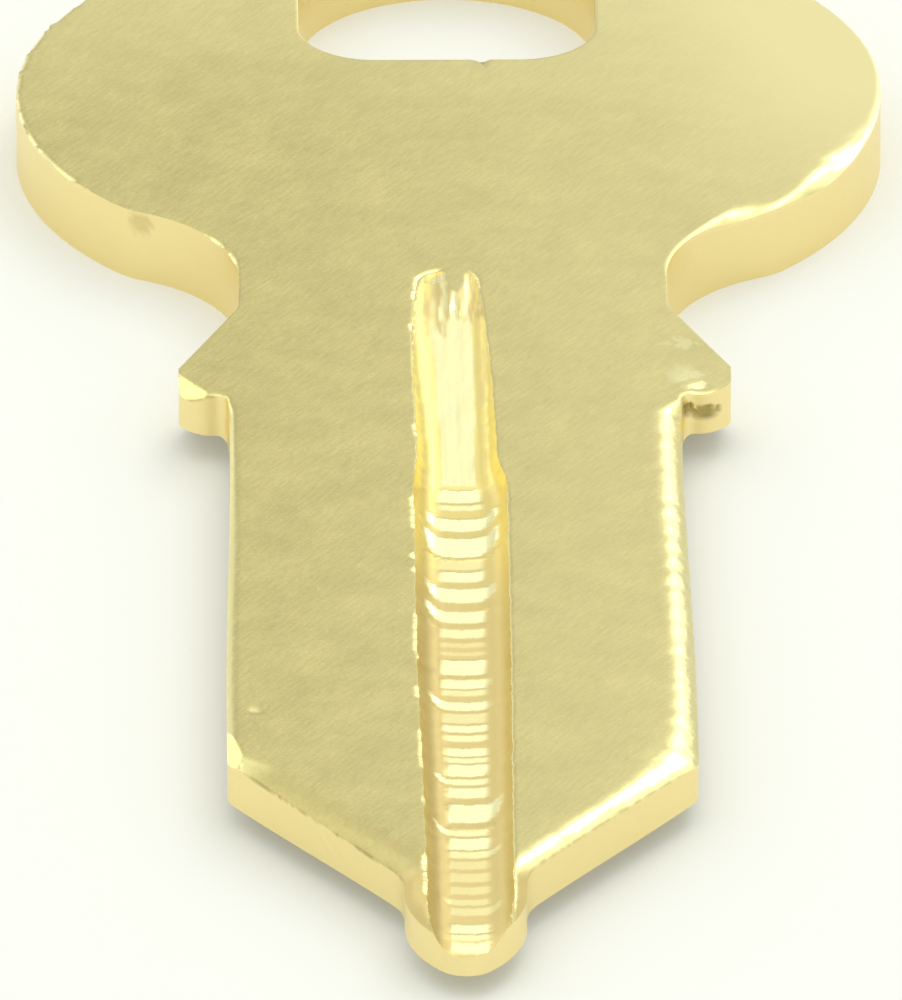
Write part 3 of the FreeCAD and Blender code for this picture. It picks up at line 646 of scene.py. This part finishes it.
def groove_points():
    """Rows across the groove, denser on its walls, and arcs round its shallow end."""
    rows = []
    shares = np.concatenate([np.linspace(0, 1, 9)[:-1], np.linspace(1, 2, 9)])
    y = np.arange(RUNOUT_TOP, -BLADE_LENGTH, -ROW_STEP)
    for side in (-1, 1):
        rim = rim_half(y, side)
        for share in shares:
            flat = GROOVE_FLAT / 2 * min(share, 1.0)
            wall = (rim - GROOVE_FLAT / 2) * math.sin(max(share - 1.0, 0.0) * math.pi / 2)
            rows.append(np.stack([GROOVE_SHIFT + side * (flat + wall), y], 1))
        rows += [np.stack([GROOVE_SHIFT + side * (rim + gap), y], 1) for gap in RIM_ROWS]
    angles = np.linspace(0, math.pi, 44)
    half_width = rim_half(np.full(len(angles), RUNOUT_TOP), np.where(angles < math.pi / 2, 1, -1))
    arcs = [(share, 0.0) for share in np.linspace(0.05, 1.0, 20)] + [(1.0, gap) for gap in RIM_ROWS]
    for share, gap in arcs:
        rows.append(np.stack([GROOVE_SHIFT + (share * half_width + gap) * np.cos(angles),
                              RUNOUT_TOP + (share * RUNOUT_END_REACH + gap) * np.sin(angles)], 1))
    return np.concatenate(rows)


def lattice(spacing):
    """Points of a triangular lattice over the whole key."""
    across = np.arange(-BOW_WIDTH / 2, BOW_WIDTH / 2, spacing)
    rows = []
    for i, y in enumerate(np.arange(-BLADE_LENGTH, BOW_LENGTH, spacing * 0.866)):
        rows.append(np.stack([across + spacing / 2 * (i % 2), np.full(len(across), y)], 1))
    return np.concatenate(rows)


def triangulate(rings, loose):
    """Points and triangles over the metal, and where each of the rings' points went."""
    fixed = np.concatenate(rings)
    points = np.concatenate([fixed, loose])
    edges = []
    start = 0
    for ring in rings:
        edges += [(start + i, start + (i + 1) % len(ring)) for i in range(len(ring))]
        start += len(ring)
    result = geometry.delaunay_2d_cdt([Vector(p) for p in points], edges, [], 0, 1e-5, True)
    spots = np.array([tuple(v) for v in result[0]])
    faces = np.array(result[2])
    middle = spots[faces].mean(1)
    faces = faces[inside(middle, rings[0]) & ~inside(middle, rings[1])]
    used = {}
    for new, given in enumerate(result[3]):
        for old in given:
            used[old] = new
    order = [used[i] for i in range(len(fixed))]
    return spots, faces, order


def top_points():
    """Loose points of the top: rows along its edges and the groove, and a lattice elsewhere."""
    fine = np.concatenate([groove_points(), offset_rings(hole, HOLE_INSETS)])
    fine = fine[inside(fine, outline)]
    fine = fine[distance(fine, outline) > 0.004]
    near_edge = offset_rings(outline, INSETS)
    on_nose = (np.abs(near_edge[:, 0] - GROOVE_SHIFT) < 1.0) & (near_edge[:, 1] < -BLADE_LENGTH + 2.0)
    near_edge = near_edge[~on_nose | (distance(near_edge, outline) < 0.2)]
    spread = lattice(FACE_STEP)
    spread = spread[inside(spread, outline) & ~inside(spread, hole)]
    clear = (distance(spread, outline) > INSETS[-1] + 0.1) & (distance(spread, hole) > 0.25)
    in_groove = (np.abs(spread[:, 0] - GROOVE_SHIFT) < 1.45) & (spread[:, 1] < RUNOUT_TOP + 1.6)
    return np.concatenate([near_edge, fine, spread[clear & ~in_groove]])


def bottom_points():
    """Loose points of the underside: a coarse lattice, rows across the step, and one row at the edge."""
    below = lattice(UNDERSIDE_STEP)
    below = below[inside(below, outline) & ~inside(below, hole)]
    below = below[(distance(below, outline) > 0.5) & (distance(below, hole) > 0.5)]
    below = below[np.abs(below[:, 1] - RELIEF_Y + 0.15) > 0.5]
    across = np.arange(-HALF_STOP, HALF_STOP, 0.4)
    root = RELIEF_Y - RELIEF_ROOT_RADIUS * np.array([1.0, 0.7, 0.45, 0.25, 0.1, 0.0])
    step_rows = [np.stack([across, np.full(len(across), y)], 1) for y in (*root, RELIEF_Y + 0.002)]
    step_rows = np.concatenate(step_rows)
    step_rows = step_rows[inside(step_rows, outline) & (distance(step_rows, outline) > 0.02)]
    return np.concatenate([below, step_rows, offset_rings(outline, [UNDERSIDE_INSET])])


def side_wall(ring, outward, upper, lower, z_top, z_low, first):
    """Points, triangles and the hollows' painted shade of a side wall between its upper and lower ring of
    vertices;
    first is the number of its first new vertex."""
    count = len(ring)
    places, faces, painted_shade_amounts = [], [], []
    rows = [upper]
    for share in np.linspace(0.0, 1.0, WALL_ROWS + 1)[1:-1]:
        z = z_top + (z_low - z_top) * share
        spot, hollow = ring, np.zeros(count)
        if outward:
            hollow = hollows(ring, z)
            ripple = WALL_RIPPLE * (1 + waves(ring[:, 0] + z, ring[:, 1] - z, 17, 1.1))
            dip = ripple * math.sin(math.pi * share)
            spot = ring + normals_in(ring) * (dip + hollow * HOLLOW_DEPTH)[:, None]
        painted_shade_amounts.append(hollow)
        places.append(np.column_stack([spot, z]))
        rows.append(np.arange(first, first + count))
        first += count
    rows.append(lower)
    order = [0, 1, 2] if outward else [0, 2, 1]
    for high, low in zip(rows, rows[1:]):
        next_high, next_low = np.roll(high, -1), np.roll(low, -1)
        faces.append(np.column_stack([high, low, next_low])[:, order])
        faces.append(np.column_stack([high, next_low, next_high])[:, order])
    return places, faces, painted_shade_amounts


def key_object(vertices, faces, kinds, on_side):
    """The mesh with the amount of each kind of metal, painted light and painted shade at its points, and its
    sides marked.
    """
    mesh = bpy.data.meshes.new("key_blank_skin")
    mesh.from_pydata(vertices.tolist(), [], faces.tolist())
    for name, values in kinds.items():
        everywhere = np.zeros(len(vertices), np.float32)
        everywhere[:len(values)] = values
        mesh.attributes.new(name, "FLOAT", "POINT").data.foreach_set("value", everywhere)
    side = mesh.attributes.new("side", "FLOAT", "FACE")
    side.data.foreach_set("value", on_side.astype(np.float32))
    mesh.validate()
    mesh.polygons.foreach_set("use_smooth", np.ones(len(mesh.polygons), bool))
    mesh.set_sharp_from_angle(angle=math.radians(38))
    mesh.update()
    made = bpy.data.objects.new("key_blank_skin", mesh)
    bpy.context.scene.collection.objects.link(made)
    return made


def build_key():
    top, top_faces, top_order = triangulate([outline, hole], top_points())
    height, kinds = top_height(top, distance(top, outline))
    bottom, bottom_faces, bottom_order = triangulate([outline, hole], bottom_points())
    floor = bottom_height(bottom)

    vertices = [np.column_stack([top, height]), np.column_stack([bottom, floor])]
    faces = [top_faces, bottom_faces[:, ::-1] + len(top)]
    flat_faces = len(top_faces) + len(bottom_faces)
    # Painted shade along a few top edges and in the side faces' hollows
    painted_shade_amounts = [kinds["hollow"], np.zeros(len(bottom))]
    start = 0
    for ring, outward in ((outline, True), (hole, False)):
        upper = np.array(top_order[start:start + len(ring)])
        lower = np.array(bottom_order[start:start + len(ring)])
        first = sum(len(part) for part in vertices)
        places, walls, hollow = side_wall(ring, outward, upper, lower + len(top),
                                          height[upper], floor[lower], first)
        vertices += places
        faces += walls
        painted_shade_amounts += hollow
        start += len(ring)
    kinds["hollow"] = np.concatenate(painted_shade_amounts)
    faces = np.concatenate(faces)
    on_side = np.arange(len(faces)) >= flat_faces
    return key_object(np.concatenate(vertices) * MM, faces, kinds, on_side)


# Metal


def node(tree, kind, **settings):
    made = tree.nodes.new(kind)
    for name, value in settings.items():
        setattr(made, name, value)
    return made


def noise(tree, vector, scale, detail=3.0, roughness=0.5):
    made = node(tree, "ShaderNodeTexNoise")
    made.inputs["Scale"].default_value = scale
    made.inputs["Detail"].default_value = detail
    made.inputs["Roughness"].default_value = roughness
    tree.links.new(vector, made.inputs["Vector"])
    return made.outputs["Fac"]


def ranged(tree, value, low, high, to_low, to_high):
    made = node(tree, "ShaderNodeMapRange")
    for name, number in (("From Min", low), ("From Max", high), ("To Min", to_low), ("To Max", to_high)):
        made.inputs[name].default_value = number
    tree.links.new(value, made.inputs["Value"])
    return made.outputs["Result"]


def feed(tree, socket, value):
    """Links a node's output to the socket, or sets the socket to a constant."""
    if isinstance(value, bpy.types.NodeSocket):
        tree.links.new(value, socket)
    else:
        socket.default_value = value


def mixed(tree, share, one, two, mode="MIX"):
    made = node(tree, "ShaderNodeMix", data_type="RGBA", blend_type=mode)
    for name, kind, value in (("Factor", "VALUE", share), ("A", "RGBA", one), ("B", "RGBA", two)):
        feed(tree, next(s for s in made.inputs if (s.name, s.type) == (name, kind)), value)
    return next(s for s in made.outputs if s.type == "RGBA")


def maths(tree, operation, one, two):
    made = node(tree, "ShaderNodeMath", operation=operation)
    for socket, value in zip(made.inputs, (one, two)):
        feed(tree, socket, value)
    return made.outputs[0]


def grey(tree, value):
    made = node(tree, "ShaderNodeCombineColor")
    for name in ("Red", "Green", "Blue"):
        tree.links.new(value, made.inputs[name])
    return made.outputs["Color"]


FACE_COLOUR = (0.62, 0.555, 0.232, 1.0)
FACE_DULL = (0.54, 0.48, 0.195, 1.0)
# A lighter tone that paints light on the face towards the right and the far end
FACE_PAINTED_LIGHT = (0.80, 0.73, 0.37, 1.0)
WORN_COLOUR = (0.92, 0.84, 0.38, 1.0)
TORN_COLOUR = (0.80, 0.66, 0.28, 1.0)
CUT_COLOUR = (0.82, 0.68, 0.29, 1.0)
# Matt metal, which also serves as painted shade on the groove's left wall and the left side of the point
MATT_AND_SHADE_COLOUR = (0.60, 0.48, 0.19, 1.0)
BAND_COLOUR = (0.94, 0.80, 0.25, 1.0)
BURNISHED_COLOUR = (0.96, 0.93, 0.50, 1.0)
SIDE_COLOUR = (0.94, 0.80, 0.395, 1.0)
# Painted shade, in the side faces' hollows and as a thin line along a few top edges
PAINTED_SHADE_COLOUR = (0.42, 0.34, 0.12, 1.0)

# Each kind of surface with its colour, laid one over the other in this order; besides the metals there is
# painted light on the face and painted shade
KINDS = (("painted_light", FACE_PAINTED_LIGHT), ("worn", WORN_COLOUR), ("torn", TORN_COLOUR), ("cut", CUT_COLOUR),
         ("matt_and_painted_shade", MATT_AND_SHADE_COLOUR), ("band", BAND_COLOUR), ("burnished", BURNISHED_COLOUR),
         ("side", SIDE_COLOUR), ("hollow", PAINTED_SHADE_COLOUR))

# The face's own fine marks: the noises' scales, the streaks' length for their width and their turn,
# and how far the marks darken and lighten the face
STREAK_SCALE = 12000.0
STREAK_LENGTH = 7.0
STREAK_TURN = math.radians(58)
STREAK_TONES = (0.92, 1.08)
BLOTCH_SCALE = 700.0
SPECKLE_SCALE = 11000.0
SPECKLE_TONES = (0.88, 1.12)

# Roughness of the face, how much smoother each kind is, the least that any of them has, and the
# relief of the fine marks
FACE_ROUGHNESS = (0.34, 0.5)
SMOOTHER = (("worn", 0.22), ("cut", -0.06), ("band", 0.16), ("burnished", 0.2), ("torn", -0.3))
LEAST_ROUGHNESS = 0.14
BUMP_STRENGTH = 0.18
BUMP_DISTANCE = 0.01 * MM


def attribute(tree, name):
    return node(tree, "ShaderNodeAttribute", attribute_name=name).outputs["Fac"]


def brass():
    """One metal for the whole key, coloured by how much of each kind of surface, painted light and painted
    shade a place has.
    """
    metal = bpy.data.materials.new("brass")
    metal.use_nodes = True
    tree = metal.node_tree
    shader = tree.nodes["Principled BSDF"]
    shader.inputs["Metallic"].default_value = 1.0
    place = node(tree, "ShaderNodeTexCoord").outputs["Object"]

    along = node(tree, "ShaderNodeMapping", vector_type="TEXTURE")
    along.inputs["Rotation"].default_value = (0.0, 0.0, STREAK_TURN)
    along.inputs["Scale"].default_value = (STREAK_LENGTH, 1.0, 1.0)
    tree.links.new(place, along.inputs["Vector"])
    streaks = noise(tree, along.outputs["Vector"], STREAK_SCALE, 4.0, 0.6)
    blotches = noise(tree, place, BLOTCH_SCALE, 4.0, 0.6)
    speckle = noise(tree, place, SPECKLE_SCALE, 3.0, 0.7)

    face = mixed(tree, ranged(tree, blotches, 0.3, 0.7, 0.0, 1.0), FACE_DULL, FACE_COLOUR)
    grain = ranged(tree, speckle, 0.25, 0.75, *SPECKLE_TONES)
    lined = ranged(tree, streaks, 0.3, 0.7, *STREAK_TONES)
    tone = grey(tree, maths(tree, "MULTIPLY", grain, lined))
    colour = mixed(tree, 1.0, face, tone, "MULTIPLY")
    for name, shade in KINDS:
        colour = mixed(tree, attribute(tree, name), colour, shade)
    tree.links.new(colour, shader.inputs["Base Color"])

    rough = ranged(tree, speckle, 0.2, 0.8, *FACE_ROUGHNESS)
    for name, smoother in SMOOTHER:
        rough = maths(tree, "SUBTRACT", rough, maths(tree, "MULTIPLY", attribute(tree, name), smoother))
    tree.links.new(maths(tree, "MAXIMUM", rough, LEAST_ROUGHNESS), shader.inputs["Roughness"])

    relief = maths(tree, "ADD", maths(tree, "MULTIPLY", streaks, 0.5), speckle)
    dents = node(tree, "ShaderNodeBump")
    dents.inputs["Strength"].default_value = BUMP_STRENGTH
    dents.inputs["Distance"].default_value = BUMP_DISTANCE
    tree.links.new(relief, dents.inputs["Height"])
    tree.links.new(dents.outputs["Normal"], shader.inputs["Normal"])
    return metal


# Floor, lights and camera


def seen_rays(tree):
    """1 for rays that show the background: from the camera, and off or through a surface."""
    path = node(tree, "ShaderNodeLightPath")
    some = maths(tree, "MAXIMUM", path.outputs["Is Camera Ray"], path.outputs["Is Glossy Ray"])
    return maths(tree, "MAXIMUM", some, path.outputs["Is Transmission Ray"])


FLOOR_REACH = 1.5
FLOOR_COLOUR = (0.737, 0.75, 0.705, 1.0)
FLOOR_GLOW_COLOUR = (1.0, 1.0, 0.93, 1.0)
FLOOR_GLOW = 0.2


def floor_piece():
    """A pale matt floor that keeps the key's shadow and looks nearly white."""
    mesh = bpy.data.meshes.new("floor")
    signs = ((-1, -1), (1, -1), (1, 1), (-1, 1))
    mesh.from_pydata([(FLOOR_REACH * x, FLOOR_REACH * y, 0) for x, y in signs], [], [(0, 1, 2, 3)])
    plane = bpy.data.objects.new("floor", mesh)
    bpy.context.scene.collection.objects.link(plane)
    paint = bpy.data.materials.new("floor")
    paint.use_nodes = True
    tree = paint.node_tree
    tree.nodes.remove(tree.nodes["Principled BSDF"])
    matt = node(tree, "ShaderNodeBsdfDiffuse")
    matt.inputs["Color"].default_value = FLOOR_COLOUR
    glow = node(tree, "ShaderNodeEmission")
    glow.inputs["Color"].default_value = FLOOR_GLOW_COLOUR
    tree.links.new(maths(tree, "MULTIPLY", seen_rays(tree), FLOOR_GLOW), glow.inputs["Strength"])
    both = node(tree, "ShaderNodeAddShader")
    tree.links.new(matt.outputs[0], both.inputs[0])
    tree.links.new(glow.outputs[0], both.inputs[1])
    tree.links.new(both.outputs[0], tree.nodes["Material Output"].inputs["Surface"])
    mesh.materials.append(paint)


def compass(azimuth, elevation):
    """Unit vector towards a place in the studio. Azimuth 0 is behind the bow and grows to the right."""
    turn, rise = math.radians(azimuth), math.radians(elevation)
    return Vector((math.sin(turn) * math.cos(rise), math.cos(turn) * math.cos(rise), math.sin(rise)))


def panel(tree, direction, azimuth, elevation, reach, soft, level):
    """A round panel of the studio: level within reach degrees of its middle, fading over soft degrees."""
    towards = node(tree, "ShaderNodeVectorMath", operation="DOT_PRODUCT")
    tree.links.new(direction, towards.inputs[0])
    towards.inputs[1].default_value = compass(azimuth, elevation)
    outer, inner = math.cos(math.radians(reach + soft)), math.cos(math.radians(reach))
    made = node(tree, "ShaderNodeMapRange", interpolation_type="SMOOTHSTEP")
    for name, number in (("From Min", outer), ("From Max", inner), ("To Min", 0.0), ("To Max", level)):
        made.inputs[name].default_value = number
    tree.links.new(towards.outputs["Value"], made.inputs["Value"])
    return made.outputs["Result"]


# The studio's brightness by the height of the direction, from the horizon to straight up, its panels
# as (azimuth, elevation, reach, soft) in degrees and a level, and the dome's share of blue
DOME = ((0.0, 0.85), (0.10, 0.70), (0.42, 0.70), (0.60, 0.92), (0.85, 1.0), (1.0, 1.35))
PANELS = ((2.0, 37.0, 7.0, 5.0, 0.35), (32.0, 41.0, 10.0, 12.0, 0.4), (18.0, 18.0, 6.0, 4.0, 0.85),
          (24.0, 28.0, 6.0, 5.0, 0.9), (38.0, 59.0, 9.0, 6.0, 0.8), (-35.0, 18.0, 6.0, 4.0, 0.9),
          (-50.0, 40.0, 7.0, 4.0, 0.8), (-20.0, 12.0, 8.0, 6.0, 0.15))
DOME_BLUE = 0.97


def studio():
    """The world that lights the key and that its metal mirrors: a pale dome with a few panels."""
    world = bpy.data.worlds.new("studio")
    bpy.context.scene.world = world
    world.use_nodes = True
    tree = world.node_tree
    direction = node(tree, "ShaderNodeTexCoord").outputs["Generated"]
    parts = node(tree, "ShaderNodeSeparateXYZ")
    tree.links.new(direction, parts.inputs[0])
    dome = node(tree, "ShaderNodeValToRGB")
    stops = dome.color_ramp
    for i, (position, level) in enumerate(DOME):
        stop = stops.elements[i] if i < 2 else stops.elements.new(position)
        stop.position = position
        stop.color = (level, level, level * DOME_BLUE, 1)
    tree.links.new(parts.outputs["Z"], dome.inputs["Fac"])
    glow = 0.0
    for place in PANELS:
        glow = maths(tree, "ADD", panel(tree, direction, *place), glow)
    lit = mixed(tree, 1.0, dome.outputs["Color"], grey(tree, glow), "ADD")
    tree.links.new(lit, tree.nodes["Background"].inputs["Color"])


def softbox(name, azimuth, elevation, away, size, watts):
    """A square lamp that faces the key, with its distance and size in metres."""
    light = bpy.data.lights.new(name, "AREA")
    light.size = size
    light.energy = watts
    lamp = bpy.data.objects.new(name, light)
    bpy.context.scene.collection.objects.link(lamp)
    lamp.location = compass(azimuth, elevation) * away
    lamp.rotation_euler = (-lamp.location).to_track_quat("-Z", "Y").to_euler()


# The photograph's view: a long lens, 26 degrees above the floor, aimed at a point in millimetres
VIEW_TARGET = (-0.163, -6.116, 1.9)
VIEW_AWAY = 1038.8
VIEW_AZIMUTH = 0.55
VIEW_ELEVATION = 26.0
LENS = 1500.0
SENSOR_WIDTH = 36.0


def camera():
    """The camera at the photograph's angle."""
    forward = compass(VIEW_AZIMUTH, -VIEW_ELEVATION)
    lens = bpy.data.cameras.new("camera")
    lens.lens = LENS
    lens.sensor_width = SENSOR_WIDTH
    view = bpy.data.objects.new("camera", lens)
    bpy.context.scene.collection.objects.link(view)
    view.location = (Vector(VIEW_TARGET) - forward * VIEW_AWAY) * MM
    view.rotation_euler = forward.to_track_quat("-Z", "Y").to_euler()
    bpy.context.scene.camera = view


key = build_key()
key.data.materials.append(brass())
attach(key, "root")
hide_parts("key_blank")
floor_piece()
studio()
softbox("key_light", 28.0, 42.0, 0.5, 0.14, 0.13)
camera()
bpy.context.scene.view_settings.view_transform = "Standard"
